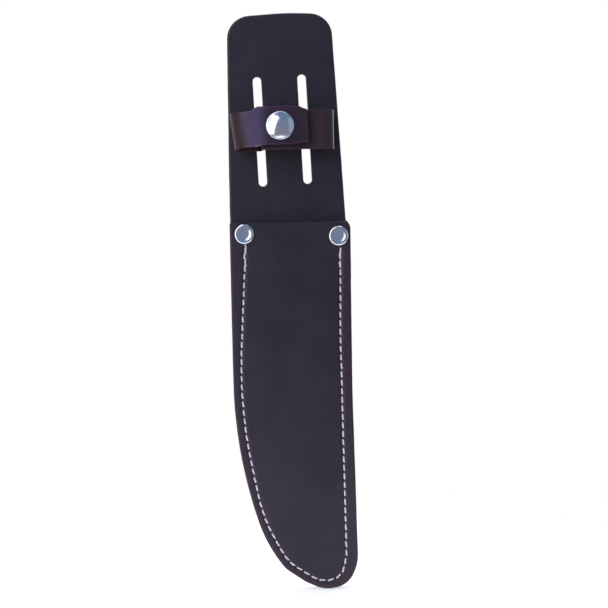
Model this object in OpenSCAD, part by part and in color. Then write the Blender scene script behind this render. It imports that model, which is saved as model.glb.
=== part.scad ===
// Leather sheath for a hori hori digging knife: a stitched pocket for the blade, a belt plate with
// two long slots, and a strap that threads through the slots and snaps round the handle.
// X is to the right, Z is up, and the front faces -Y. The origin is on the back face of the sheath,
// midway between the slots.

/* [Leather] */
// Thickness of the back panel
back_t = 3; // [2.4:0.2:3.6]
// Thickness of the welt, which is the room left for the blade
welt_t = 4.4; // [4.2:0.1:5.4]
// Thickness of the front panel
front_t = 3; // [2.4:0.2:3.6]
// Height of the pocket's mouth below the middle of the slots
mouth_drop = 48.5; // [46.5:0.5:49]
// Width of the welt inside the seam
welt_inner = 3; // [2:0.5:4]

/* [Belt slots] */
// Distance between the middles of the two slots
slot_gap = 23.4; // [22.8:0.1:24]
// Width of each slot
slot_w = 4.4; // [4.3:0.1:4.8]
// Length of each slot
slot_len = 57.4; // [56.2:0.2:60]
// Lean of the slots and the strap, with the top to the left
slot_lean = 2.1; // [0:0.1:3]

/* [Strap] */
// Width of the strap
strap_w = 19; // [17:0.5:20]
// Thickness of the strap
strap_t = 2.2; // [2:0.1:2.3]
// Half width of the loop, to the middle of the leather
loop_half = 25.6; // [24:0.1:27]
// Middle of the under arm, in front of the back face
arm_y = 16.5; // [16.2:0.1:16.6]
// Middle of the flap, in front of the back face
flap_y = 21.5; // [21.5:0.1:23]
// End of the flap, right of the middle
flap_end = 13.4; // [12:0.1:15]
// Furthest that the flap folds open
flap_open = 110; // [110:5:120]

/* [Stitching] */
// Distance from one stitch to the next
stitch_pitch = 4.4; // [4:0.1:5]
// Length of thread that shows in a stitch
stitch_len = 3.2; // [2.8:0.1:3.6]
// Thickness of the thread
thread_d = 0.9; // [0.7:0.1:1]

/* [Hardware] */
// Width of a rivet's cap
rivet_d = 10.2; // [9:0.2:11]
// Width of the snap's cap
snap_d = 14.5; // [13:0.5:16]
// Middle of the snap, right of the middle of the slots
snap_x = -0.8; // [-2:0.1:1]

/* [Hidden] */
$fn = 48;

// Corners of the sheath's edge, clockwise from the top left: X, Z and the radius that rounds each
EDGE = [[-27.7, 59.5, 12], [4.5, 61.7, 160], [26.7, 60.2, 12], [32.15, -47.8, 4], [34.3, -51, 5],
        [33.4, -138, 500], [34.4, -225.8, 20], [29.1, -237.2, 12.5], [16.6, -239.2, 16],
        [7.3, -235.3, 25], [-3.4, -228, 14], [-13.4, -214.3, 70], [-28.2, -166, 240],
        [-28.4, -20, 800]];
// Corners of the seam, from under the left rivet round the tip to under the right one
SEAM = [[-20.3, -61], [-25.3, -144, 250], [-14.2, -202, 84], [-1.8, -224.3, 20], [15.4, -235.4, 13],
        [25.6, -232.4, 7.5], [28.4, -222, 14], [27.9, -107, 300], [28.9, -62]];
// Middles of the two rivets
RIVETS = [[-20.8, -54.3], [28, -56.2]];

arc_steps = 10;                        // straight steps in each rounded corner
front_y = back_t + welt_t + front_t;   // front face of the pocket
groove = 0.5;                          // depth of the stitching groove
thread_gap = 0.02;                     // clearance between metal or thread and what it sits in
strap_gap = 0.2;                       // room between the strap and the back of the plate
knuckle_gap = 0.06;                    // running gap round the fold of the flap
back_line = strap_gap + strap_t / 2;   // middle of the strap behind the plate
corner = 5.1;                          // corner taken off the front of the loop at the flap's fold
fold = [-loop_half + corner / 2, -flap_y + corner / 2];
fold_turn = 45;                        // direction of the loop at the fold
knuckle_r = strap_t / 2 + 0.05;        // round end of the flap at the fold
face = flap_y - strap_t / 2;           // underside of the flap
arm_face = arm_y + strap_t / 2;        // front of the under arm
barrel_d = 4;                          // tube through the flap
barrel_hole = 4.2;                     // hole in the flap
barrel_flange = 10;                    // flange under the cap
post_d = 3;                            // post through the under arm
post_hole = 3.3;                       // hole in the under arm
socket_h = 2.1;                        // height of the socket
socket_floor = 0.5;                    // socket's floor, against the flap
socket_bore = 7;                       // opening that takes the stud
roll_h = 0.4;                          // end of the barrel rolled over inside the socket
groove_z = 0.6;                        // middle of the spring's groove, from the socket's rim

leather = "#322c33";
leather_red = "#3d2429";
thread = "#d5c8d0";
nickel = "#c9ced6";

// Corners of the loop seen from above, from the flap's end round to the under arm's end
LOOP = [[flap_end, -flap_y, 0], [-loop_half + corner, -flap_y, 4],
        [-loop_half, -flap_y + corner, 4], [-loop_half, -9.6, 3.5], [-12.4, -4.9, 3],
        [-10.9, back_line, 1.9], [10.9, back_line, 1.9], [12.4, -4.9, 3],
        [loop_half, -9.6, 3.5], [loop_half, -arm_y, 4], [-11, -arm_y, 0]];

function unit(v) = v / norm(v);

// Points that round the corner p between its neighbours a and b
function rounded(p, a, b, r) =
    let (u = unit(a - p), v = unit(b - p), h = acos(u * v) / 2,
         c = p + unit(u + v) * r / sin(h), t = r / tan(h),
         s = p + u * t - c, e = p + v * t - c, s0 = atan2(s[1], s[0]),
         turn = (atan2(e[1], e[0]) - s0 + 540) % 360 - 180)
    [for (i = [0:arc_steps]) c + r * [cos(s0 + turn * i / arc_steps), sin(s0 + turn * i / arc_steps)]];

function flat(c) = [c[0], c[1]];

// A closed outline from its corners
function outline(cs) = let (n = len(cs))
    [for (i = [0:n - 1])
        each rounded(flat(cs[i]), flat(cs[(i + n - 1) % n]), flat(cs[(i + 1) % n]), cs[i][2])];

// An open path from its corners
function path(cs) = let (n = len(cs))
    [flat(cs[0]),
     for (i = [1:n - 2]) each rounded(flat(cs[i]), flat(cs[i - 1]), flat(cs[i + 1]), cs[i][2]),
     flat(cs[n - 1])];

// The path moved sideways by d, to the left of its direction
function beside(p, d) = let (n = len(p))
    [for (i = [0:n - 1])
        let (v = unit(p[min(i + 1, n - 1)] - p[max(i - 1, 0)])) p[i] + d * [-v[1], v[0]]];

function reversed(p) = [for (i = [len(p) - 1:-1:0]) p[i]];

function strip(p, w) = concat(beside(p, w / 2), reversed(beside(p, -w / 2)));

// Length of the path up to its point i
function run(p, i) = i == 0 ? 0 : run(p, i - 1) + norm(p[i] - p[i - 1]);

// Position and direction at the distance d along the path
function along(p, d, i = 1) = let (step = norm(p[i] - p[i - 1]))
    (d <= step || i == len(p) - 1)
        ? [p[i - 1] + unit(p[i] - p[i - 1]) * d, atan2(p[i][1] - p[i - 1][1], p[i][0] - p[i - 1][0])]
        : along(p, d - step, i + 1);

seam = path(SEAM);
seam_len = run(seam, len(seam) - 1);
stitches = floor(seam_len / stitch_pitch);

// A plate with the outline in X and Z, from y0 back to y1, both counted forward from the back face
module plate(y0, y1) {
    translate([0, -y0, 0]) rotate([90, 0, 0]) linear_extrude(height = y1 - y0) children();
}

// Everything below the mouth
module below_mouth() {
    translate([-60, -260]) square([120, 260 - mouth_drop]);
}

module sheath_face() {
    polygon(outline(EDGE));
}

module rivet_holes(d) {
    for (r = RIVETS) translate(r) circle(d = d);
}

// One stadium-shaped slot on each side of the middle
module slots() {
    rotate(slot_lean) for (side = [-1, 1]) translate([side * slot_gap / 2, 0]) {
        square([slot_w, slot_len - slot_w], center = true);
        for (end = [-1, 1]) translate([0, end * (slot_len - slot_w) / 2]) circle(d = slot_w);
    }
}

module seam_groove() {
    polygon(strip(seam, thread_d + 0.3));
}

module back_panel() {
    color(leather) difference() {
        plate(0, back_t) difference() {
            sheath_face();
            slots();
            rivet_holes(4.2);
        }
        plate(-1, groove) seam_groove();
    }
}

module front_panel() {
    color(leather) difference() {
        plate(back_t + welt_t, front_y) difference() {
            intersection() {
                sheath_face();
                below_mouth();
            }
            rivet_holes(4.2);
        }
        plate(front_y - groove, front_y + 1) seam_groove();
    }
}

// The strip between the panels that keeps the blade off the thread
module welt() {
    inner = beside(seam, welt_inner);
    color(leather_red) plate(back_t, back_t + welt_t) difference() {
        intersection() {
            sheath_face();
            below_mouth();
        }
        polygon(concat([[inner[0][0] + 0.4, -40]], inner, [[inner[len(inner) - 1][0] - 0.3, -40]]));
        rivet_holes(4.2);
    }
}

// Threads lying in the groove at the depth y
module stitch_row(y) {
    for (i = [0:stitches - 1]) {
        s = along(seam, (i + 0.5) * stitch_pitch);
        translate([s[0][0], -y, s[0][1]]) rotate([0, -s[1], 0]) rotate([0, 90, 0])
            cylinder(d = thread_d, h = stitch_len, center = true);
    }
}

module front_stitches() {
    color(thread) stitch_row(front_y - groove + thread_d / 2 + thread_gap);
}

module back_stitches() {
    color(thread) stitch_row(groove - thread_d / 2 - thread_gap);
}

// Turns children from standing on Z to facing the front, at the place and the height y
module facing(place, y) {
    translate([place[0], -y, place[1]]) rotate([90, 0, 0]) children();
}

// A low pressed cap with a flat top and a rounded rim
module rivet_cap() {
    r = rivet_d / 2;
    rotate_extrude() polygon(concat([[0, 0.5], [r - 0.9, 0.5], [r - 0.5, 0], [r - 0.1, 0]],
        [for (a = [0:15:90]) [r - 1.1 + 1.1 * cos(a), 0.5 + 0.8 * sin(a)]], [[0, 1.2]]));
}

module rivet_caps() {
    color(nickel) for (r = RIVETS) facing(r, front_y) rivet_cap();
}

module rivet_back_caps() {
    color(nickel) for (r = RIVETS) facing(r, 0) mirror([0, 0, 1]) rivet_cap();
}

// Tube and flange inside the front cap
module rivet_sleeves() {
    flange = rivet_d - 1.9;
    color(nickel) for (r = RIVETS) facing(r, 0) difference() {
        union() {
            translate([0, 0, front_y + thread_gap]) cylinder(d = flange, h = 0.5 - 2 * thread_gap);
            translate([0, 0, 2]) cylinder(d = 4, h = front_y - 1.6);
        }
        translate([0, 0, 1]) cylinder(d = 3, h = front_y - 1.2);
    }
}

// Post and flange inside the back cap, driven into the tube
module rivet_posts() {
    flange = rivet_d - 1.9;
    color(nickel) for (r = RIVETS) facing(r, 0) {
        translate([0, 0, thread_gap - 0.5]) cylinder(d = flange, h = 0.5 - 2 * thread_gap);
        translate([0, 0, -0.3]) cylinder(d = 3 - 2 * thread_gap, h = front_y);
    }
}

// Turns children from the strap's own frame, with the loop seen from above, to the lean of the slots
module strap_frame() {
    rotate([0, -slot_lean, 0]) children();
}

// A length of strap, as tall as it is wide, from a shape seen from above
module band() {
    translate([0, 0, -strap_w / 2]) linear_extrude(height = strap_w) children();
}

// The loop's leather seen from above, along some of its corners
module loop_shape(cs) {
    polygon(strip(path(cs), strap_t));
}

// The way that the open flap takes past the strap's outer side
module fold_relief() {
    translate(fold) rotate(-fold_turn - flap_open) translate([0, -strap_t / 2 - knuckle_gap])
        square([3 * strap_t, strap_t + 2 * knuckle_gap]);
    translate(fold) circle(r = knuckle_r + knuckle_gap);
}

// The strap from the fold, through both slots, to the end of the under arm
module strap() {
    color(leather_red) strap_frame() difference() {
        band() difference() {
            loop_shape([[fold[0], fold[1], 0], for (i = [2:len(LOOP) - 1]) LOOP[i]]);
            fold_relief();
        }
        facing([snap_x, 0], arm_y - 3) cylinder(d = post_hole, h = 6);
    }
}

// The strap's upper arm, which folds open, with the round of the fold at its left end
module flap() {
    color(leather_red) strap_frame() difference() {
        union() {
            band() loop_shape([LOOP[0], LOOP[1], [fold[0], fold[1], 0]]);
            translate([fold[0], fold[1], -strap_w / 2]) cylinder(r = knuckle_r, h = strap_w);
        }
        facing([snap_x, 0], flap_y - 3) cylinder(d = barrel_hole, h = 6);
    }
}

// Turns a snap piece to face the front on the snap's axis, at the depth y
module snap_at(y) {
    color(nickel) strap_frame() facing([snap_x, 0], y) children();
}

// Domed cap with a rolled rim, hollow for the barrel's flange
module snap_cap() {
    r = snap_d / 2;
    rim = 0.7;
    rise = 1.7;
    dome = (pow(r - rim, 2) + pow(rise, 2)) / (2 * rise);
    spread = asin((r - rim) / dome);
    snap_at(flap_y + strap_t / 2) rotate_extrude() polygon(concat(
        [[0, 0.6], [barrel_flange / 2 + thread_gap, 0.6], [barrel_flange / 2 + thread_gap, 0],
         [r - 0.4, 0]],
        [for (a = [-45:15:75]) [r - rim + rim * cos(a), rim + rim * sin(a)]],
        [for (i = [9:-1:0]) [dome * sin(spread * i / 9.5),
                             2 * rim + rise - dome + dome * cos(spread * i / 9.5)]]));
}

// Flange under the cap, tube through the flap, and the end rolled over inside the socket
module snap_barrel() {
    snap_at(0) difference() {
        union() {
            translate([0, 0, flap_y + strap_t / 2 + thread_gap])
                cylinder(d = barrel_flange, h = 0.6 - 2 * thread_gap);
            translate([0, 0, face - socket_floor - 0.2]) cylinder(d = barrel_d, h = strap_t + 1);
            translate([0, 0, face - socket_floor - roll_h - thread_gap]) cylinder(d = 5.2, h = roll_h);
        }
        translate([0, 0, face - 2]) cylinder(d = barrel_d - 1, h = strap_t + 2);
    }
}

// Ring under the flap that takes the stud, with a groove for the spring
module snap_socket() {
    snap_at(face - socket_h) difference() {
        cylinder(d = 11, h = socket_h);
        translate([0, 0, -1]) cylinder(d = socket_bore, h = socket_h - socket_floor + 1);
        cylinder(d = barrel_d + 4 * thread_gap, h = socket_h + 1);
        translate([0, 0, groove_z - 0.3]) cylinder(d = socket_bore + 1.1, h = 0.6);
    }
}

// Split wire ring that grips the stud's head
module snap_spring() {
    wire = 0.5;
    snap_at(face - socket_h + groove_z) rotate([0, 0, 15]) rotate_extrude(angle = 330)
        translate([socket_bore / 2 + wire / 2, 0]) circle(d = wire);
}

// Stud on the under arm: a flange, a neck and a rounded head, bored for the post
module snap_stud() {
    snap_at(arm_face) rotate_extrude() polygon([[post_d / 2 + thread_gap, 0], [4.5, 0], [4.5, 0.4],
        [2.7, 0.5], [2.5, 0.9], [3, 1.1], [3, 1.4], [2.8, 1.65], [2.4, 1.8],
        [post_d / 2 + thread_gap, 1.8]]);
}

// Post with its flange behind the under arm, and its end inside the stud
module snap_post() {
    snap_at(0) difference() {
        union() {
            translate([0, 0, arm_y - strap_t / 2 - 0.5]) cylinder(d = 9, h = 0.5);
            translate([0, 0, arm_y - strap_t / 2 - 0.2]) cylinder(d = post_d, h = strap_t + 1.9);
        }
        translate([0, 0, arm_y - strap_t / 2 - 1]) cylinder(d = 1.8, h = strap_t + 1.4);
    }
}

back_panel();
front_panel();
welt();
front_stitches();
back_stitches();
rivet_caps();
rivet_sleeves();
rivet_posts();
rivet_back_caps();
strap();
flap();
snap_cap();
snap_barrel();
snap_socket();
snap_spring();
snap_stud();
snap_post();
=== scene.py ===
"""Leather sheath for a hori hori knife: a riveted and stitched blade pocket, a belt plate with two
slots, and a handle strap that threads through the slots and closes with a snap.

Shapes are worked out in millimetres and brought to metres when a piece is finished.
X is to the right, Z is up, and the front faces -Y.
"""

import math
import random

import bmesh
import bpy
from mathutils import Matrix, Vector, kdtree, noise
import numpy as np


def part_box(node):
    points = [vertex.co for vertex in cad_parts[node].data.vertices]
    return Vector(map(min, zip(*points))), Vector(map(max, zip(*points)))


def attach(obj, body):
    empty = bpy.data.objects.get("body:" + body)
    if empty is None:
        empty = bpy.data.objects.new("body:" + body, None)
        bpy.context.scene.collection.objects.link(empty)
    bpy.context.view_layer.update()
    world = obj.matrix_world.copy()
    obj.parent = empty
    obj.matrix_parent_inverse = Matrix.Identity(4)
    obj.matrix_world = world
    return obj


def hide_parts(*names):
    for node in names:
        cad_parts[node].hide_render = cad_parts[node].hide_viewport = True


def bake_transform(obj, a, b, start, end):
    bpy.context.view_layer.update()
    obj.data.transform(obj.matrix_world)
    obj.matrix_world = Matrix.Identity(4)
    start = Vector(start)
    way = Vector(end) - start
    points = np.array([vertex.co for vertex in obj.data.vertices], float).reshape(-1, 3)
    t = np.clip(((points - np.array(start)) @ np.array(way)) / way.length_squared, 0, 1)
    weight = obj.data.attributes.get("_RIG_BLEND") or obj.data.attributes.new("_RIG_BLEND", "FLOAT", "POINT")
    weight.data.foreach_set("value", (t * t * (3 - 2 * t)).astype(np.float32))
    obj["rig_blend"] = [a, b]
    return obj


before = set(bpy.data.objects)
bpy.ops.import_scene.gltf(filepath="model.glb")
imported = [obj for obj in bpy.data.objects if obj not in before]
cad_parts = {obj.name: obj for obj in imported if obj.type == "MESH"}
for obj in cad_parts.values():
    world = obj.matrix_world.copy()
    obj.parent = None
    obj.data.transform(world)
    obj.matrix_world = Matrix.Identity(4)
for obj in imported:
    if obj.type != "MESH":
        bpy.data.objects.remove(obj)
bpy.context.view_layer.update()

MM = 0.001
TURN = 2 * math.pi


def node_box(node):
    """Lowest and highest corner of a node of the frame, in millimetres."""
    low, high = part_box(node)
    return low / MM, high / MM


# ---------------------------------------------------------------- sizes, in millimetres

back_low, _ = node_box("back_panel")
front_low, front_high = node_box("front_panel")

PLATE_Y = back_low.y               # front face of the belt plate
POCKET_Y = front_low.y             # front face of the pocket
POCKET_BACK_Y = front_high.y       # inner face of the front panel
MOUTH_Z = front_high.z             # mouth of the pocket
STRAP_HALF = 9.5                   # half the strap's width
STRAP_T = 2.2                      # thickness of the strap
LEAN = math.radians(2.1)           # lean of the slots and the strap, with the top to the left
SLOT_GAP, SLOT_W, SLOT_LEN = 23.4, 4.4, 57.4
EDGE_ROUND = 0.9                   # radius of the dressed edges
LAYER_ROUND = 0.28                 # radius where two layers meet in the sanded edge
STITCH_PITCH, STITCH_LEN, THREAD = 4.4, 3.2, 0.95
STRAP_ROUND = 0.7                  # radius of the strap's dressed edges
SNAP_PLACE = (-0.8, -22.6, 0)      # underside of the snap's cap, in the strap's leaning frame
RIVETS = ((-20.8, -54.3), (28.0, -56.2))     # X and Z of each rivet
RIVET_RADIUS, RIVET_RISE = 5.2, 1.3
RIVET_SHOULDER = 1.05              # radius of a rivet cap's shoulder

# Corners of the sheath's edge, clockwise from the top left: X, Z and the radius that rounds each
EDGE = ((-27.7, 59.5, 12), (4.5, 61.7, 160), (26.7, 60.2, 12), (32.15, -47.8, 4), (34.3, -51, 5),
        (33.4, -138, 500), (34.4, -225.8, 20), (29.1, -237.2, 12.5), (16.6, -239.2, 16),
        (7.3, -235.3, 25), (-3.4, -228, 14), (-13.4, -214.3, 70), (-28.2, -166, 240),
        (-28.4, -20, 800))
# The step that the edge makes at the mouth, drawn out so that rings of faces can follow it
STEP_DRAWN_OUT = ((32.1, -46.4, 60), (34.1, -56.5, 50))
# Corners of the seam, from under the left rivet round the tip to under the right one
SEAM = ((-20.3, -61, 0), (-25.3, -144, 250), (-14.2, -202, 84), (-1.8, -224.3, 20), (15.4, -235.4, 13),
        (25.6, -232.4, 7.5), (28.4, -222, 14), (27.9, -107, 300), (28.9, -62, 0))
# Corners of the handle strap seen from above: X, Y and radius, from the flap's end to the under arm's
FLAP_PATH = ((13.4, -21.1, 0), (2, -21.7, 50), (-8.5, -21.4, 30), (-18.8, -18.7, 20), (-24.4, -14.4, 6),
             (-25.1, -9.6, 3.5), (-12.4, -4.9, 3), (-11.55, -1.4, 0))
STRAP_PATH = ((-11.55, -1.4, 0), (-10.9, 1.3, 1.9), (10.9, 1.3, 1.9), (12.4, -4.9, 3),
              (25.6, -9.6, 3.5), (25.6, -16.5, 4), (-11, -16.5, 0))


# ---------------------------------------------------------------- curves

def rounded_corner(p, a, b, radius, steps):
    """Points that round the corner p between its neighbours a and b."""
    u, v = (a - p).normalized(), (b - p).normalized()
    half = u.angle(v) / 2
    centre = p + (u + v).normalized() * radius / math.sin(half)
    start = p + u * radius / math.tan(half) - centre
    end = p + v * radius / math.tan(half) - centre
    first = math.atan2(start.y, start.x)
    sweep = (math.atan2(end.y, end.x) - first + 3 * math.pi) % TURN - math.pi
    turns = [first + sweep * i / steps for i in range(steps + 1)]
    return [centre + Vector((math.cos(t), math.sin(t))) * radius for t in turns]


def rounded_path(corners, closed=False, steps=16):
    """A path through the corners, each rounded by its radius."""
    flat = [Vector(c[:2]) for c in corners]
    count = len(flat)
    points = []
    for i, corner in enumerate(corners):
        if not closed and i in (0, count - 1):
            points.append(flat[i])
        else:
            points += rounded_corner(flat[i], flat[i - 1], flat[(i + 1) % count], corner[2], steps)
    return points


def spaced(points, step, closed=False):
    """The path's points again, at even distances of about one step."""
    if closed:
        points = points + points[:1]
    marks = [0.0]
    for a, b in zip(points, points[1:]):
        marks.append(marks[-1] + (b - a).length)
    count = max(2, round(marks[-1] / step))
    out, i = [], 0
    for k in range(count if closed else count + 1):
        s = marks[-1] * k / count
        while i < len(points) - 2 and marks[i + 1] < s:
            i += 1
        span = marks[i + 1] - marks[i]
        out.append(points[i].lerp(points[i + 1], (s - marks[i]) / span if span else 0))
    return out


def smooth_step(x, low, high):
    """Goes from 0 at the low end to 1 at the high one, level at both ends."""
    t = min(1, max(0, (x - low) / (high - low)))
    return t * t * (3 - 2 * t)


SEAM_STEP = 0.1
seam_points = spaced(rounded_path(SEAM), SEAM_STEP)
seam_tree = kdtree.KDTree(len(seam_points))
for index, point in enumerate(seam_points):
    seam_tree.insert((point.x, point.y, 0), index)
seam_tree.balance()
seam_length = SEAM_STEP * (len(seam_points) - 1)
STITCHES = int(seam_length / STITCH_PITCH)


def seam_direction(i):
    """Direction of the seam at one of its points."""
    a, b = seam_points[max(0, i - 2)], seam_points[min(len(seam_points) - 1, i + 2)]
    return (b - a).normalized()


def seam_place(x, z):
    """Distance along the seam, and distance to its inner side, of a place on the panels."""
    near, i, _ = seam_tree.find((x, z, 0))
    way = seam_direction(i)
    return i * SEAM_STEP, (x - near.x) * -way.y + (z - near.y) * way.x


# ---------------------------------------------------------------- mesh helpers

def finish_piece(name, bm, material, smooth_angle=40):
    """Brings a mesh to metres and makes it a smooth-shaded object."""
    bmesh.ops.transform(bm, matrix=Matrix.Scale(MM, 4), verts=bm.verts)
    mesh = bpy.data.meshes.new(name)
    bm.to_mesh(mesh)
    bm.free()
    piece = bpy.data.objects.new(name, mesh)
    bpy.context.collection.objects.link(piece)
    mesh.materials.append(material)
    mesh.shade_smooth()
    mesh.set_sharp_from_angle(angle=math.radians(smooth_angle))
    return piece


def lathe(bm, profile, segments=64):
    """Turns a profile of (radius, height) round Z, from one point on the axis to the other."""
    verts = [bm.verts.new((r, 0, h)) for r, h in profile]
    edges = [bm.edges.new(pair) for pair in zip(verts, verts[1:])]
    bmesh.ops.spin(bm, geom=verts + edges, cent=(0, 0, 0), axis=(0, 0, 1), angle=TURN,
                   steps=segments, use_merge=True)
    bmesh.ops.remove_doubles(bm, verts=bm.verts, dist=1e-4)
    bmesh.ops.recalc_face_normals(bm, faces=bm.faces)


def arc_profile(centre, radius, first, last, steps):
    """Points of an arc in a lathe's profile; angles in degrees from the radius towards the height."""
    turns = [math.radians(first + (last - first) * i / steps) for i in range(steps + 1)]
    return [(centre[0] + radius * math.cos(t), centre[1] + radius * math.sin(t)) for t in turns]


def facing(x, y, z):
    """Stands a lathe's Z axis out of the front at a place."""
    return Matrix.Translation((x, y, z)) @ Matrix.Rotation(math.pi / 2, 4, "X")


STRAP_FRAME = Matrix.Rotation(-LEAN, 4, "Y")


# ---------------------------------------------------------------- materials

def rgb(value):
    """Linear colour from an sRGB hex value."""
    parts = [int(value[i:i + 2], 16) / 255 for i in (1, 3, 5)]
    return [p / 12.92 if p <= 0.04045 else ((p + 0.055) / 1.055) ** 2.4 for p in parts] + [1]


def add(tree, kind, links=(), **settings):
    """Adds a node with its settings and links: (own socket, other node, other socket). A setting
    named in_ and a socket's number or name sets that socket."""
    node = tree.nodes.new(kind)
    for key, value in settings.items():
        if key.startswith("in_"):
            socket = key[3:]
            socket = int(socket) if socket.isdigit() else socket.replace("_", " ")
            node.inputs[socket].default_value = value
        else:
            setattr(node, key, value)
    for own, other, socket in links:
        tree.links.new(node.inputs[own], other.outputs[socket])
    return node


def ramp(node, stops):
    """Sets a colour ramp's stops: (position, colour)."""
    elements = node.color_ramp.elements
    while len(elements) < len(stops):
        elements.new(0.5)
    for element, (position, colour) in zip(elements, stops):
        element.position, element.color = position, colour
    return node


def new_material(name):
    """A new material with its node tree, its shader and its coordinates."""
    material = bpy.data.materials.new(name)
    material.use_nodes = True
    tree = material.node_tree
    return material, tree, tree.nodes["Principled BSDF"], add(tree, "ShaderNodeTexCoord")


def leather(name, face, shade, rim, ruddy, painted_reflection_tint, roughness, coat, grain_mm=0.8, grain=0.14,
            gloss=0.5, painted_fold_reflection=None):
    """Vegetable-tanned cowhide, drum dyed and lacquered: a fine pebbled grain with hair pores, a slow
    mottle in the dye, and burnished edges that are smoother and redder than the face. The attribute
    rim marks the edges, and the attribute ruddy marks where the dye is worn or the leather raw. The
    specular tint is a painted reflection colour, a violet cast that stands for the colour of the light;
    where a second tint is given, ruddy also turns it into a duller, redder painted reflection."""
    material, tree, shader, place = new_material(name)
    mottle = add(tree, "ShaderNodeTexNoise", [("Vector", place, "Object")],
                 in_Scale=1 / (22 * MM), in_Detail=5, in_Roughness=0.6)
    colour = ramp(add(tree, "ShaderNodeValToRGB", [("Fac", mottle, "Fac")]),
                  [(0.35, rgb(shade)), (0.65, rgb(face))])
    edge = add(tree, "ShaderNodeAttribute", attribute_name="rim")
    speck = add(tree, "ShaderNodeTexNoise", [("Vector", place, "Object")],
                in_Scale=1 / (1.6 * MM), in_Detail=3)
    worn = add(tree, "ShaderNodeMath", [(0, edge, "Fac"), (1, speck, "Fac")], operation="MULTIPLY")
    worn = add(tree, "ShaderNodeMath", [(0, worn, 0)], operation="MULTIPLY", in_1=1.7, use_clamp=True)
    tint = add(tree, "ShaderNodeMix", [("Factor", worn, 0), (6, colour, "Color")],
               data_type="RGBA", in_7=rgb(rim))
    redness = add(tree, "ShaderNodeAttribute", attribute_name="ruddy")
    tint = add(tree, "ShaderNodeMix", [("Factor", redness, "Fac"), (6, tint, 2)],
               data_type="RGBA", in_7=rgb(ruddy))
    pebble = add(tree, "ShaderNodeTexVoronoi", [("Vector", place, "Object")],
                 feature="SMOOTH_F1", in_Scale=1 / (grain_mm * MM), in_Smoothness=0.6)
    pores = add(tree, "ShaderNodeTexVoronoi", [("Vector", place, "Object")],
                feature="F1", in_Scale=1 / (1.9 * MM), in_Randomness=1)
    pit = ramp(add(tree, "ShaderNodeValToRGB", [("Fac", pores, "Distance")]),
               [(0.0, (0, 0, 0, 1)), (0.16, (1, 1, 1, 1))])
    creases = add(tree, "ShaderNodeTexNoise", [("Vector", place, "Object")],
                  in_Scale=1 / (5 * MM), in_Detail=6, in_Roughness=0.65)
    height = add(tree, "ShaderNodeMath", [(0, pebble, "Distance"), (2, creases, "Fac")],
                 operation="MULTIPLY_ADD", in_1=-0.5)
    height = add(tree, "ShaderNodeMath", [(0, pit, "Color"), (2, height, 0)],
                 operation="MULTIPLY_ADD", in_1=0.25)
    bump = add(tree, "ShaderNodeBump", [("Height", height, 0)], in_Strength=grain, in_Distance=0.5 * MM)
    rough = add(tree, "ShaderNodeMapRange", [("Value", creases, "Fac")],
                in_3=roughness - 0.07, in_4=roughness + 0.1)
    rough = add(tree, "ShaderNodeMath", [(0, edge, "Fac"), (2, rough, 0)],
                operation="MULTIPLY_ADD", in_1=-0.12)
    for own, other, socket in (("Base Color", tint, 2), ("Roughness", rough, 0), ("Normal", bump, 0)):
        tree.links.new(shader.inputs[own], other.outputs[socket])
    shader.inputs["Coat Weight"].default_value = coat
    shader.inputs["Coat Roughness"].default_value = 0.28
    shader.inputs["Specular IOR Level"].default_value = gloss
    # Painted reflection colour: a violet specular tint that stands for the colour of the light
    shader.inputs["Specular Tint"].default_value = rgb(painted_reflection_tint)
    # Where ruddy is high, a duller, redder painted reflection colour
    if painted_fold_reflection:
        painted_shine = add(tree, "ShaderNodeMix", [("Factor", redness, "Fac")], data_type="RGBA",
                    in_6=rgb(painted_reflection_tint), in_7=rgb(painted_fold_reflection))
        tree.links.new(shader.inputs["Specular Tint"], painted_shine.outputs[2])
    return material


def nickel(name, face, roughness):
    """Bright nickel plate on pressed steel: clean and mirror-like, with faint wear scratches."""
    material, tree, shader, place = new_material(name)
    drawn = add(tree, "ShaderNodeMapping", [("Vector", place, "Object")], in_Scale=(1, 1, 7))
    scratch = add(tree, "ShaderNodeTexNoise", [("Vector", drawn, 0)],
                  in_Scale=1 / (1.2 * MM), in_Detail=8, in_Roughness=0.7)
    rough = add(tree, "ShaderNodeMapRange", [("Value", scratch, "Fac")],
                in_3=roughness * 0.6, in_4=roughness * 1.6)
    bump = add(tree, "ShaderNodeBump", [("Height", scratch, "Fac")], in_Strength=0.05,
               in_Distance=0.1 * MM)
    tree.links.new(shader.inputs["Roughness"], rough.outputs[0])
    tree.links.new(shader.inputs["Normal"], bump.outputs[0])
    shader.inputs["Metallic"].default_value = 1
    shader.inputs["Base Color"].default_value = rgb(face)
    return material


def waxed_thread(name, face, shade):
    """Bonded and waxed polyester: a soft off-white with a slight sheen, greyer down in the twist."""
    material, tree, shader, place = new_material(name)
    fibre = add(tree, "ShaderNodeTexNoise", [("Vector", place, "Object")],
                in_Scale=1 / (0.35 * MM), in_Detail=4)
    colour = ramp(add(tree, "ShaderNodeValToRGB", [("Fac", fibre, "Fac")]),
                  [(0.3, rgb(shade)), (0.6, rgb(face))])
    bump = add(tree, "ShaderNodeBump", [("Height", fibre, "Fac")], in_Strength=0.3, in_Distance=0.1 * MM)
    tree.links.new(shader.inputs["Base Color"], colour.outputs["Color"])
    tree.links.new(shader.inputs["Normal"], bump.outputs[0])
    shader.inputs["Roughness"].default_value = 0.6
    shader.inputs["Sheen Weight"].default_value = 0.2
    return material


# Near-black lacquered hide of the two panels, redder outside the seam; its violet specular tint is a painted
# reflection colour
BODY_LEATHER = leather("lacquered_sheath_leather", "#2b2729", "#221f22", "#35262b", "#33262a",
                       "#d9d2ee", 0.44, 0.03)
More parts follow.
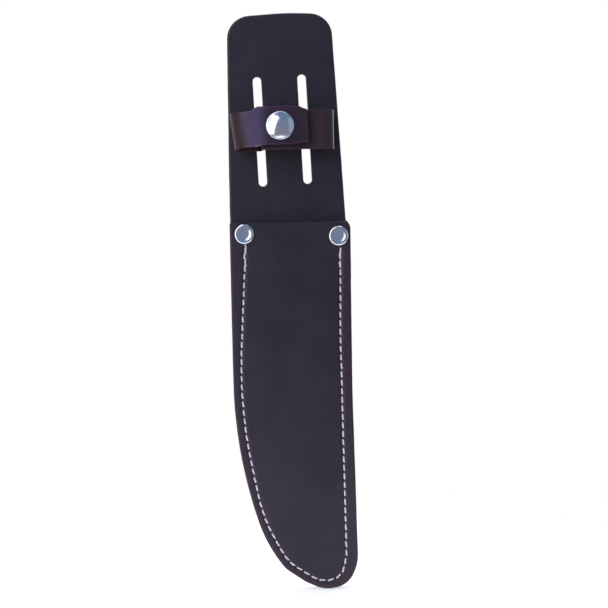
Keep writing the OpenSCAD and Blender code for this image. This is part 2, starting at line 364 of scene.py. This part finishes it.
# Dark red-brown waxed hide of the strap; its violet specular tint is a painted reflection colour, which
# turns duller and redder where it folds, partly fold wear and partly painted reflection
STRAP_LEATHER = leather("waxed_strap_leather", "#3a2b2b", "#2a2021", "#4a302f", "#372927",
                        "#b2a8f2", 0.33, 0.02, 0.7, 0.1, gloss=0.75, painted_fold_reflection="#b8a6a6")
# Burnished edge of the welt between the panels; its violet specular tint is a painted reflection colour
WELT_LEATHER = leather("burnished_welt_leather", "#2f2225", "#241b1c", "#3a272b", "#2f2225",
                       "#d8ccee", 0.4, 0.1, 0.8, 0.1)
# Off-white sewing thread
THREAD_WAX = waxed_thread("waxed_polyester_thread", "#f4edf0", "#c3b8bf")
# Plate of the rivets and the snap
BRIGHT_NICKEL = nickel("bright_nickel_plate", "#dfe3ea", 0.14)
# Round wire of the snap's spring, duller than the plate
SPRING_STEEL = nickel("drawn_spring_wire", "#b9bbc0", 0.3)


# ---------------------------------------------------------------- the two panels

UP = Vector((0, 0, 1))
GRID = 6                           # spacing of the lines that let the pocket's middle swell
# Distances of the rings of faces in from a panel's edge
RINGS = (0.07, 0.26, 0.56, 0.9, 1.5, 2.3, 3.0, 3.5, 4.0, 4.5, 5.0, 5.5, 6.0, 6.5, 7.0, 7.6, 8.4, 9.4)


def round_drop(distance, radius):
    """How far a rounded edge lies below its face at a distance in from the side."""
    if distance >= radius:
        return 0
    return radius - math.sqrt(radius ** 2 - (radius - distance) ** 2)


def seam_dip(x, z):
    """How far the thread pulls the leather in: a shallow channel, deeper at each needle hole."""
    s, side = seam_place(x, z)
    if abs(side) > 3 or s <= 0.2 or s >= seam_length - 0.2:
        return 0
    from_hole = (s / STITCH_PITCH + 0.5) % 1 - 0.5
    hole = math.exp(-(from_hole * STITCH_PITCH / 0.75) ** 2)
    ends = smooth_step(s, 0, 2) * smooth_step(seam_length - s, 0, 2)
    return ends * math.exp(-(side / 0.85) ** 2) * (0.3 + 0.45 * hole)


def pocket_swell(x, z):
    """The pocket's leather stands a little proud inside the seam and below the mouth."""
    _, side = seam_place(x, z)
    return 0.4 * smooth_step(side, 0.6, 13) * smooth_step(MOUTH_Z - z, -2, 22)


def cut_lines(bm, smallest, y_high, axis, places):
    """Cuts the large faces of the front, and the pieces they fall into, by planes across an axis."""
    faces = [f for f in bm.faces if f.calc_area() > smallest and f.calc_center_median().y < y_high]
    edges = {e for f in faces for e in f.edges}
    verts = {v for f in faces for v in f.verts}
    geom = faces + list(edges) + list(verts)
    for place in places:
        geom = bmesh.ops.bisect_plane(bm, geom=geom, dist=1e-4, plane_co=axis * place,
                                      plane_no=axis)["geom"]


def cut_mouth(bm, mouth):
    """Cuts everything above the mouth away, closes the cut and adds lines that round its edge."""
    def bisect(height, **settings):
        everything = bm.faces[:] + bm.edges[:] + bm.verts[:]
        bmesh.ops.bisect_plane(bm, geom=everything, dist=1e-4, plane_co=UP * height, plane_no=UP,
                               **settings)

    bisect(mouth, clear_outer=True)
    bmesh.ops.contextual_create(bm, geom=[e for e in bm.edges if e.is_boundary])
    for depth in RINGS[:4]:
        bisect(mouth - depth)


def panel_mesh(outline, y_front, y_back, front_drop, back_drop, rings_front, rings_back, mouth=None):
    """A closed plate with rings of faces round both faces, which its edges and seam are shaped from.
    A mouth cuts the plate off at that height and dresses the cut edge."""
    bm = bmesh.new()
    inward = bm.verts.layers.float.new("inward")
    rim = bm.verts.layers.float.new("rim")
    ruddy = bm.verts.layers.float.new("ruddy")
    front = bm.faces.new([bm.verts.new((p.x, y_front, p.y)) for p in outline])
    bmesh.ops.recalc_face_normals(bm, faces=[front])
    if front.normal.y > 0:
        front.normal_flip()
    made = bmesh.ops.extrude_face_region(bm, geom=[front], use_keep_orig=True)["geom"]
    back = next(g for g in made if isinstance(g, bmesh.types.BMFace))
    bmesh.ops.translate(bm, verts=back.verts, vec=(0, y_back - y_front, 0))
    bmesh.ops.recalc_face_normals(bm, faces=bm.faces)
    for face, rings in ((front, rings_front), (back, rings_back)):
        done = 0
        for distance in rings:
            bmesh.ops.inset_individual(bm, faces=[face], thickness=distance - done,
                                       use_even_offset=True)
            for vert in face.verts:
                vert[inward] = distance
            done = distance
    if mouth is not None:
        cut_mouth(bm, mouth)
        cut_lines(bm, 500, y_front + 0.1, UP, [mouth - GRID * i for i in range(1, 32)])
        cut_lines(bm, 30, y_front + 0.1, Vector((1, 0, 0)), range(-4 * GRID, 5 * GRID + 1, GRID))
    middle = (y_front + y_back) / 2
    for vert in bm.verts:
        x, y, z = vert.co
        near = vert[inward] if mouth is None else min(vert[inward], mouth - z)
        vert[rim] = 1 - smooth_step(vert[inward], 0.25, 1.3)
        vert[ruddy] = 0.9 * (1 - smooth_step(vert[inward], 2, 7)) * smooth_step(-z, 20, 60)
        vert.co.x += step_shift(x, z)
        if y < middle:
            vert.co.y += front_drop(x, z, near)
        else:
            vert.co.y -= back_drop(x, z, near)
    bmesh.ops.recalc_face_normals(bm, faces=bm.faces)
    return bm


def apply_modifiers(piece):
    """Makes what the modifiers show the piece's own mesh."""
    graph = bpy.context.evaluated_depsgraph_get()
    mesh = bpy.data.meshes.new_from_object(piece.evaluated_get(graph))
    piece.modifiers.clear()
    piece.data = mesh


def slot_cutter():
    """Both slots as plain stadium prisms, longer than the plate is thick."""
    bm = bmesh.new()
    for side in (-1, 1):
        bmesh.ops.create_cube(bm, size=1, matrix=Matrix.Translation((side * SLOT_GAP / 2, PLATE_Y / 2, 0))
                              @ Matrix.Diagonal((SLOT_W, 3 * -PLATE_Y, SLOT_LEN, 1)))
    upright = [e for e in bm.edges if abs(e.verts[0].co.y - e.verts[1].co.y) > 1]
    bmesh.ops.bevel(bm, geom=upright, offset=SLOT_W / 2 * 0.999, segments=12, affect="EDGES",
                    profile=0.5, material=-1)
    bmesh.ops.rotate(bm, cent=(0, 0, 0), matrix=Matrix.Rotation(-LEAN, 3, "Y"), verts=bm.verts)
    return bm


def in_slots(co, grow=0.3):
    """Whether a place lies within the walls of a slot."""
    local = STRAP_FRAME.inverted() @ co
    across = abs(abs(local.x) - SLOT_GAP / 2)
    along = max(0, abs(local.z) - (SLOT_LEN - SLOT_W) / 2)
    return math.hypot(across, along) < SLOT_W / 2 + grow


def wavy(points, amount, seed):
    """The outline with the small unevenness of a hand-sanded edge."""
    out = []
    for i, p in enumerate(points):
        way = (points[(i + 1) % len(points)] - points[i - 1]).normalized()
        shift = noise.noise(Vector((p.x / 11, p.y / 11, seed))) * amount
        out.append(p + Vector((-way.y, way.x)) * shift)
    return out


edge_path = rounded_path(EDGE, closed=True)
drawn_path = rounded_path(EDGE[:3] + STEP_DRAWN_OUT + EDGE[5:], closed=True)


def right_edge(path, z):
    """X of the outline's right side at a height."""
    for a, b in zip(path, path[1:]):
        if a.x > 20 and b.x > 20 and b.y <= z < a.y:
            return a.x + (b.x - a.x) * (a.y - z) / (a.y - b.y)
    return None


STEP_LOW, STEP_HIGH = -80, -30     # heights between which the two outlines differ
STEP_SHIFT = [right_edge(edge_path, z) - right_edge(drawn_path, z)
              for z in range(STEP_LOW, STEP_HIGH + 1)]


def step_shift(x, z):
    """How far a place near the right edge moves out to make the step at the mouth."""
    if x < 22 or not STEP_LOW + 1 < z < STEP_HIGH - 1:
        return 0
    place = z - STEP_LOW
    low, high = STEP_SHIFT[int(place)], STEP_SHIFT[int(place) + 1]
    return (low + (high - low) * (place - int(place))) * smooth_step(x, 22, 31)


PANEL_STEP = 0.5
whole_edge = spaced(drawn_path, PANEL_STEP, closed=True)


def make_back_panel():
    """The long panel: belt plate above, the pocket's back below, with both slots cut through."""
    def front_drop(x, z, inward):
        dress = smooth_step(z, MOUTH_Z - 2, MOUTH_Z + 1)
        return round_drop(inward, EDGE_ROUND) * dress + round_drop(inward, LAYER_ROUND) * (1 - dress)

    def back_drop(x, z, inward):
        return round_drop(inward, EDGE_ROUND) + seam_dip(x, z)

    bm = panel_mesh(wavy(whole_edge, 0.09, 3), PLATE_Y, 0, front_drop, back_drop, RINGS[:5], RINGS)
    panel = finish_piece("belt_panel", bm, BODY_LEATHER)
    cutter = finish_piece("slot_cutter", slot_cutter(), BODY_LEATHER)
    cut = panel.modifiers.new("slots", "BOOLEAN")
    cut.operation, cut.solver, cut.object = "DIFFERENCE", "EXACT", cutter
    apply_modifiers(panel)
    bpy.data.objects.remove(cutter)
    bm = bmesh.new()
    bm.from_mesh(panel.data)
    rims = [e for e in bm.edges if abs(e.verts[0].co.y - e.verts[1].co.y) < 1e-6
            and all(in_slots(v.co / MM, 0.05) for v in e.verts)]
    bmesh.ops.bevel(bm, geom=rims, offset=0.6 * MM, segments=4, affect="EDGES", profile=0.5,
                    material=-1)
    rim = bm.verts.layers.float["rim"]
    for vert in bm.verts:
        if in_slots(vert.co / MM, 0.5):
            vert[rim] = 1
    bm.to_mesh(panel.data)
    bm.free()
    panel.data.shade_smooth()
    weighted = panel.modifiers.new("face_normals", "WEIGHTED_NORMAL")
    weighted.keep_sharp = True
    return panel


def make_front_panel():
    """The pocket's front, cut off at the mouth."""
    def front_drop(x, z, inward):
        return round_drop(inward, EDGE_ROUND) + seam_dip(x, z) - pocket_swell(x, z)

    def back_drop(x, z, inward):
        return round_drop(inward, LAYER_ROUND)

    bm = panel_mesh(wavy(whole_edge, 0.07, 11), POCKET_Y, POCKET_BACK_Y, front_drop, back_drop,
                    RINGS, RINGS[:5], mouth=MOUTH_Z)
    return finish_piece("pocket_panel", bm, BODY_LEATHER)


def dressed_copy(name, node, material, bevel=0, angle=40):
    """A copy of a CAD node's mesh with its triangles merged and its edges taken off."""
    bm = bmesh.new()
    bm.from_mesh(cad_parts[node].data)
    bmesh.ops.transform(bm, matrix=Matrix.Scale(1 / MM, 4), verts=bm.verts)
    bmesh.ops.remove_doubles(bm, verts=bm.verts, dist=1e-3)
    bmesh.ops.dissolve_limit(bm, angle_limit=math.radians(0.5), verts=bm.verts, edges=bm.edges)
    if bevel:
        sharp = [e for e in bm.edges if e.is_manifold and e.calc_face_angle() > math.radians(angle)]
        bmesh.ops.bevel(bm, geom=sharp, offset=bevel, segments=2, affect="EDGES", profile=0.5,
                        material=-1)
    piece = finish_piece(name, bm, material, angle)
    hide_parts(node)
    return piece


# ---------------------------------------------------------------- strap

LOOP_MIDDLE = Vector((0, -11))     # a place inside the loop, seen from above
STRAP_STEP = 0.8                   # length of the strap's faces


class Route:
    """The strap's middle line seen from above, with positions and directions by distance."""

    def __init__(self, corners, step=0.1):
        self.points = spaced(rounded_path(corners), step)
        steps = [(b - a).length for a, b in zip(self.points, self.points[1:])]
        self.step = sum(steps) / len(steps)
        self.length = self.step * (len(self.points) - 1)

    def at(self, s):
        """Place and outward direction at a distance along the strap."""
        i = min(len(self.points) - 2, max(0, int(s / self.step)))
        a, b = self.points[i], self.points[i + 1]
        before, after = self.points[max(0, i - 3)], self.points[min(len(self.points) - 1, i + 4)]
        way = (after - before).normalized()
        return a + (b - a) * (s / self.step - i), Vector((-way.y, way.x))


def strap_length(name, corners, shape, end_round):
    """A length of strap: a flat bar with dressed edges, bent along its route and then shaped."""
    route = Route(corners)
    bm = bmesh.new()
    rim = bm.verts.layers.float.new("rim")
    ruddy = bm.verts.layers.float.new("ruddy")
    steps = round(route.length / STRAP_STEP)
    bmesh.ops.create_grid(bm, x_segments=steps, y_segments=14, size=0.5,
                          matrix=Matrix.Diagonal((route.length, 2 * STRAP_HALF, 1, 1)))
    bmesh.ops.solidify(bm, geom=bm.faces[:], thickness=STRAP_T)
    middle = sum(v.co.z for v in bm.verts) / len(bm.verts)
    bmesh.ops.translate(bm, verts=bm.verts, vec=(route.length / 2, 0, -middle))
    bmesh.ops.recalc_face_normals(bm, faces=bm.faces)
    if end_round:
        corner = [e for e in bm.edges if abs(e.verts[0].co.z - e.verts[1].co.z) > 1
                  and all(v.co.x > route.length - 0.01 for v in e.verts)
                  and abs(e.verts[0].co.y) > STRAP_HALF - 0.1]
        bmesh.ops.bevel(bm, geom=corner, offset=end_round, segments=5, affect="EDGES", profile=0.5,
                        material=-1)
    ridge = [e for e in bm.edges if e.is_manifold and e.calc_face_angle() > math.radians(60)]
    bmesh.ops.bevel(bm, geom=ridge, offset=STRAP_ROUND, segments=4, affect="EDGES", profile=0.5,
                    material=-1, clamp_overlap=True)
    bmesh.ops.remove_doubles(bm, verts=bm.verts[:], dist=0.01)
    bmesh.ops.dissolve_degenerate(bm, edges=bm.edges[:], dist=0.01)
    for vert in bm.verts:
        s, z, n = vert.co
        inside = min(STRAP_HALF - abs(z), route.length - s)
        vert[rim] = 1 - smooth_step(inside, 0.3, 1.3)
        place, out = route.at(s)
        inner = n * out.dot(LOOP_MIDDLE - place) / (LOOP_MIDDLE - place).length
        # Fold zones by the strap's X: partly fold wear, and partly painted reflection, since they turn the
        # strap's painted violet reflection duller and redder
        fold_wear_and_sheen = max(smooth_step(-place.x, 15, 22), smooth_step(place.x, 6, 20))
        vert[ruddy] = max(smooth_step(inner, 0.6, 0.9), 0.8 * fold_wear_and_sheen)
        vert.co = shape(place.x + out.x * n, place.y + out.y * n, z)
    bmesh.ops.transform(bm, matrix=STRAP_FRAME, verts=bm.verts)
    bmesh.ops.recalc_face_normals(bm, faces=bm.faces)
    return finish_piece(name, bm, STRAP_LEATHER, 60)


def worn_in(x, y, z):
    """The loop as use leaves it: wider at its top, where the hand pulls it open, and sunk a little
    at its right side."""
    forward = smooth_step(-y, 4, 12)
    share = z / STRAP_HALF
    x += forward * share * (-0.9 * smooth_step(-x, 12, 24) + 0.4 * smooth_step(x, 12, 24))
    sunk = forward * max(0, x + 24) * 0.04
    return x, y, z - sunk


def shape_flap(x, y, z):
    """The closing flap: its front steps up over the snap, slants down at its end, and widens a
    little at the slot."""
    rise = smooth_step(x, -15.5, -11.5)
    front = smooth_step(-y, 17, 20)
    share = z / STRAP_HALF
    top_edge = 1.5 * rise * (1 - smooth_step(x, 8.5, 12.8))
    bottom_edge = 0.8 * rise + 1.0 * smooth_step(x, 2, 13)
    z += front * (top_edge * (1 + share) / 2 + bottom_edge * (1 - share) / 2)
    z -= 0.8 * smooth_step(-y, 6, 14) * smooth_step(-x, 12, 18) * max(0, share)
    z *= 1 + 0.12 * smooth_step(-y, 2, 5) * (1 - smooth_step(-y, 11, 15)) * (z < 0)
    return worn_in(x, y + 0.6 * smooth_step(x, 0, 14), z)


def shape_strap(x, y, z):
    """The under arm: its lower half is stretched where it comes forward."""
    forward = smooth_step(-y, 6, 14)
    return worn_in(x, y, z * (1 + 0.12 * forward) if z < 0 else z)


# ---------------------------------------------------------------- stitches

SIDES, STITCH_RINGS = 9, 7         # points round a stitch, and rings along it
PLIES = 3
TWIST = 5.2                        # turn of the plies along a stitch, in radians


def add_stitch(bm, matrix, length, turn):
    """One stitch along X: three twisted plies, arched between the two needle holes."""
    made = bmesh.ops.create_circle(bm, cap_ends=True, segments=SIDES, radius=THREAD / 2,
                                   matrix=Matrix.Rotation(math.pi / 2, 4, "Y"))["verts"]
    for i, vert in enumerate(made):
        vert.co *= 1 + 0.16 * math.cos(PLIES * math.atan2(vert.co.z, vert.co.y))
    cap = made[0].link_faces[0]
    verts = set(made)
    start = Matrix.Identity(4)
    for k in range(STITCH_RINGS):
        share = k / (STITCH_RINGS - 1)
        out = 2 * share - 1
        reach = math.copysign(abs(out) ** 0.8, out)
        height = -0.78 * smooth_step(abs(out), 0.55, 1.05)
        grow = 1 - 0.3 * smooth_step(abs(out), 0.7, 1)
        tilt = math.atan2(-1.0 * out * smooth_step(abs(out), 0.5, 1), 1)
        place = (Matrix.Translation((reach * length / 2, 0, height)) @ Matrix.Rotation(-tilt, 4, "Y")
                 @ Matrix.Rotation(turn + share * TWIST, 4, "X") @ Matrix.Scale(grow, 4))
        if k:
            result = bmesh.ops.extrude_face_region(bm, geom=[cap])["geom"]
            if k > 1:
                bmesh.ops.delete(bm, geom=[cap], context="FACES_ONLY")
            cap = next(g for g in result if isinstance(g, bmesh.types.BMFace))
            verts.update(cap.verts)
        bmesh.ops.transform(bm, matrix=place @ start.inverted(), verts=cap.verts)
        start = place
    bmesh.ops.transform(bm, matrix=matrix, verts=list(verts))


def seam_matrix(s, side, y, outwards, tilt):
    """Where a stitch lies: X along the seam, Z out of the leather."""
    i = min(len(seam_points) - 1, int(s / SEAM_STEP))
    way = seam_direction(i)
    place = seam_points[i] + Vector((-way.y, way.x)) * side
    x = Vector((way.x, 0, way.y))
    z = Vector((0, outwards, 0))
    axes = Matrix((x, z.cross(x), z)).transposed().to_4x4()
    return Matrix.Translation((place.x, y, place.y)) @ axes @ Matrix.Rotation(tilt, 4, "Z")


def make_seam(name, node, y, outwards, seed):
    """One side's row of stitches, with the backtacks that lock its two ends."""
    rng = random.Random(seed)
    bm = bmesh.new()
    rows = [((i + 0.5) * STITCH_PITCH, 0.05, 0.07) for i in range(STITCHES)]
    backtack = [(i * STITCH_PITCH, side, tilt) for i, side, tilt in
                ((0, 0.1, 0.2), (1, -0.35, -0.16), (2, 0.3, 0.16), (STITCHES - 1.6, 0.3, 0.2),
                 (STITCHES - 0.6, 0.3, 0.2), (STITCHES + 0.1, 0, -0.1))]
    for s, side, tilt in rows + backtack:
        add_stitch(bm, seam_matrix(s, side + rng.uniform(-0.06, 0.06), y, outwards,
                                   tilt + rng.uniform(-0.035, 0.035)),
                   STITCH_LEN * rng.uniform(0.97, 1.04), rng.uniform(0, TURN))
    bmesh.ops.recalc_face_normals(bm, faces=bm.faces)
    piece = finish_piece(name, bm, THREAD_WAX, 80)
    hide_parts(node)
    return piece


# ---------------------------------------------------------------- rivets and snap

def rivet_profile():
    """A pressed cap: dished middle, rounded shoulder, and a rim turned in under it."""
    centre = (RIVET_RADIUS - RIVET_SHOULDER, RIVET_RISE - RIVET_SHOULDER)
    dish = ((0, 0.4), (1.5, 0.42), (2.3, 0.38), (2.9, 0.26), (3.4, 0.11), (3.75, 0.03))
    turned_in = [(4.9, -0.1), (4.6, -0.2), (4.2, -0.2), (0, -0.2)]
    return ([(radius, RIVET_RISE - depth) for radius, depth in dish]
            + arc_profile(centre, RIVET_SHOULDER, 100, -20, 11) + turned_in)


def make_rivet_caps(name, node, y, outwards):
    """Both caps of one side, in one piece."""
    bm = bmesh.new()
    for x, z in RIVETS:
        part = bmesh.new()
        lathe(part, rivet_profile())
        matrix = Matrix.Translation((x, y, z)) @ Matrix.Rotation(math.pi / 2 * -outwards, 4, "X")
        bmesh.ops.transform(part, matrix=matrix, verts=part.verts)
        mesh = bpy.data.meshes.new("part")
        part.to_mesh(mesh)
        bm.from_mesh(mesh)
        bpy.data.meshes.remove(mesh)
        part.free()
    bmesh.ops.recalc_face_normals(bm, faces=bm.faces)
    piece = finish_piece(name, bm, BRIGHT_NICKEL, 35)
    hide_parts(node)
    return piece


def make_snap_cap():
    """Domed cap of the snap with a rolled rim."""
    radius, roll, rise = 7.25, 0.6, 1.9
    dome = ((radius - roll) ** 2 + rise ** 2) / (2 * rise)
    spread = math.degrees(math.asin((radius - roll) / dome))
    top = 2 * roll + rise
    profile = arc_profile((0, top - dome), dome, 90, 90 - spread * 0.97, 14)
    profile[0] = (0, top)
    profile += arc_profile((radius - roll, roll + 0.04), roll, 96, -90, 14)
    profile += [(6.2, 0.12), (5.9, 0.5), (0, 0.5)]
    bm = bmesh.new()
    lathe(bm, profile, 96)
    bmesh.ops.transform(bm, matrix=STRAP_FRAME @ facing(*SNAP_PLACE), verts=bm.verts)
    bmesh.ops.recalc_face_normals(bm, faces=bm.faces)
    piece = finish_piece("snap_cap_dome", bm, BRIGHT_NICKEL, 60)
    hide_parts("snap_cap")
    return piece


# ---------------------------------------------------------------- assembly

back_panel = make_back_panel()
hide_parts("back_panel")
front_panel = make_front_panel()
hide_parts("front_panel")
welt = dressed_copy("welt_strip", "welt", WELT_LEATHER, bevel=0.25)
front_seam = make_seam("front_seam", "front_stitches", POCKET_Y + 0.05, -1, 5)
back_seam = make_seam("back_seam", "back_stitches", -0.05, 1, 6)
caps = make_rivet_caps("rivet_front_caps", "rivet_caps", POCKET_Y, -1)
back_caps = make_rivet_caps("rivet_rear_caps", "rivet_back_caps", 0, 1)

for piece, slot in ((back_panel, "leather_body"), (front_panel, "leather_body"),
                    (welt, "leather_welt"), (front_seam, "thread"), (back_seam, "thread"),
                    (caps, "nickel"), (back_caps, "nickel")):
    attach(piece, "sheath")

strap = strap_length("handle_strap", STRAP_PATH, shape_strap, 1.5)
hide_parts("strap")
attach(strap, "strap")
flap = strap_length("closing_flap", FLAP_PATH[::-1], shape_flap, 2.2)
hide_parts("flap")
# The flap bends at the strap's left turn, between a place on its rear run and one on its front
fold_start = STRAP_FRAME @ Vector((-25.7, -14.4, 0)) * MM
fold_end = STRAP_FRAME @ Vector((-20.8, -22.9, 0)) * MM
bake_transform(flap, "strap", "flap", start=fold_start, end=fold_end)

snap_cap = make_snap_cap()
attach(snap_cap, "flap")
for name, node, body in (("snap_socket_ring", "snap_socket", "flap"),
                         ("snap_eyelet", "snap_barrel", "flap"),
                         ("snap_stud_head", "snap_stud", "strap"),
                         ("snap_post_foot", "snap_post", "strap")):
    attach(dressed_copy(name, node, BRIGHT_NICKEL, 0.08), body)
spring = dressed_copy("snap_spring_wire", "snap_spring", SPRING_STEEL)
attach(spring, "flap")
for node in ("rivet_sleeves", "rivet_posts"):
    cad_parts[node].data.materials.clear()
    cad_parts[node].data.materials.append(BRIGHT_NICKEL)


# ---------------------------------------------------------------- studio

def area_light(name, place, aim, size, power, colour="#ffffff", roll=0):
    """A soft rectangular light at a place, aimed at another and rolled by degrees; all in metres."""
    data = bpy.data.lights.new(name, "AREA")
    data.shape, data.size, data.size_y = "RECTANGLE", size[0], size[1]
    data.energy = power
    data.color = rgb(colour)[:3]
    light = bpy.data.objects.new(name, data)
    aimed = (Vector(aim) - Vector(place)).to_track_quat("-Z", "Y").to_matrix()
    light.matrix_world = (Matrix.Translation(place) @ aimed.to_4x4()
                          @ Matrix.Rotation(math.radians(roll), 4, "Z"))
    bpy.context.collection.objects.link(light)


area_light("key_left", (-0.69, -0.84, 0.2), (0, 0, -0.02), (0.76, 2.0), 10, "#fbf9ff", roll=-16)
area_light("fill_right", (1.2, -0.5, 0.1), (0, 0, -0.09), (1.2, 1.6), 1.0)
area_light("top_soft", (0, 0.35, 1.2), (0, 0, -0.09), (1.2, 0.8), 9)
area_light("back_soft", (0.5, 1.0, 0.4), (0, 0, -0.09), (1.0, 1.0), 3)

# Room that only reflections see: grey below, blue above, and a pale backdrop behind the sheath
world = bpy.data.worlds.new("studio")
bpy.context.scene.world = world
world.use_nodes = True
tree = world.node_tree
background = tree.nodes["Background"]
way = add(tree, "ShaderNodeTexCoord")
axes = add(tree, "ShaderNodeSeparateXYZ", [("Vector", way, "Generated")])
height = add(tree, "ShaderNodeMapRange", [("Value", axes, "Z")], in_1=-0.5, in_2=0.5)
room = add(tree, "ShaderNodeMix", [("Factor", height, 0)], data_type="RGBA",
           in_6=rgb("#8b8995"), in_7=rgb("#7186a6"))
behind = add(tree, "ShaderNodeMapRange", [("Value", axes, "Y")], in_1=0.0, in_2=0.5)
beside = add(tree, "ShaderNodeMapRange", [("Value", axes, "X")],
             in_1=0.3, in_2=0.9, in_3=1, in_4=0.4)
behind = add(tree, "ShaderNodeMath", [(0, behind, 0), (1, beside, 0)], operation="MULTIPLY")
sweep = add(tree, "ShaderNodeMix", [("Factor", behind, 0), (6, room, 2)], data_type="RGBA",
            in_7=rgb("#cfd0d6"))
rays = add(tree, "ShaderNodeLightPath")
glow = add(tree, "ShaderNodeMix", [("Factor", rays, "Is Camera Ray"), (6, sweep, 2)],
           data_type="RGBA", in_7=rgb("#ffffff"))
tree.links.new(background.inputs["Color"], glow.outputs[2])

FLOOR_Z, FLOOR_RADIUS = -0.2392, 0.26
floor_mesh = bpy.data.meshes.new("floor")
bm = bmesh.new()
bmesh.ops.create_circle(bm, cap_ends=True, segments=96, radius=FLOOR_RADIUS,
                        matrix=Matrix.Translation((0, 0, FLOOR_Z)))
bm.to_mesh(floor_mesh)
bm.free()
floor = bpy.data.objects.new("floor", floor_mesh)
bpy.context.collection.objects.link(floor)
# Matt white paper with a faint glow of its own, so that it stays white
paper, _, shader, _ = new_material("matt_white_paper")
shader.inputs["Base Color"].default_value = rgb("#f4f4f4")
shader.inputs["Roughness"].default_value = 0.9
shader.inputs["Emission Color"].default_value = rgb("#ffffff")
shader.inputs["Emission Strength"].default_value = 0.6
floor_mesh.materials.append(paper)

SENSOR = 36                                  # millimetres
CAMERA_PLACE = (0.0093, -0.750, -0.0911)
CAMERA_ROLL = math.radians(1.32)
VIEW_WIDTH = 0.31903                         # what the picture spans at the sheath's back face, in metres
camera_data = bpy.data.cameras.new("camera")
camera_data.sensor_width = SENSOR
camera_data.lens = SENSOR * -CAMERA_PLACE[1] / VIEW_WIDTH
camera = bpy.data.objects.new("camera", camera_data)
camera.matrix_world = (Matrix.Translation(CAMERA_PLACE) @ Matrix.Rotation(CAMERA_ROLL, 4, "Y")
                       @ Matrix.Rotation(math.pi / 2, 4, "X"))
bpy.context.collection.objects.link(camera)
bpy.context.scene.camera = camera
bpy.context.scene.view_settings.view_transform = "Standard"
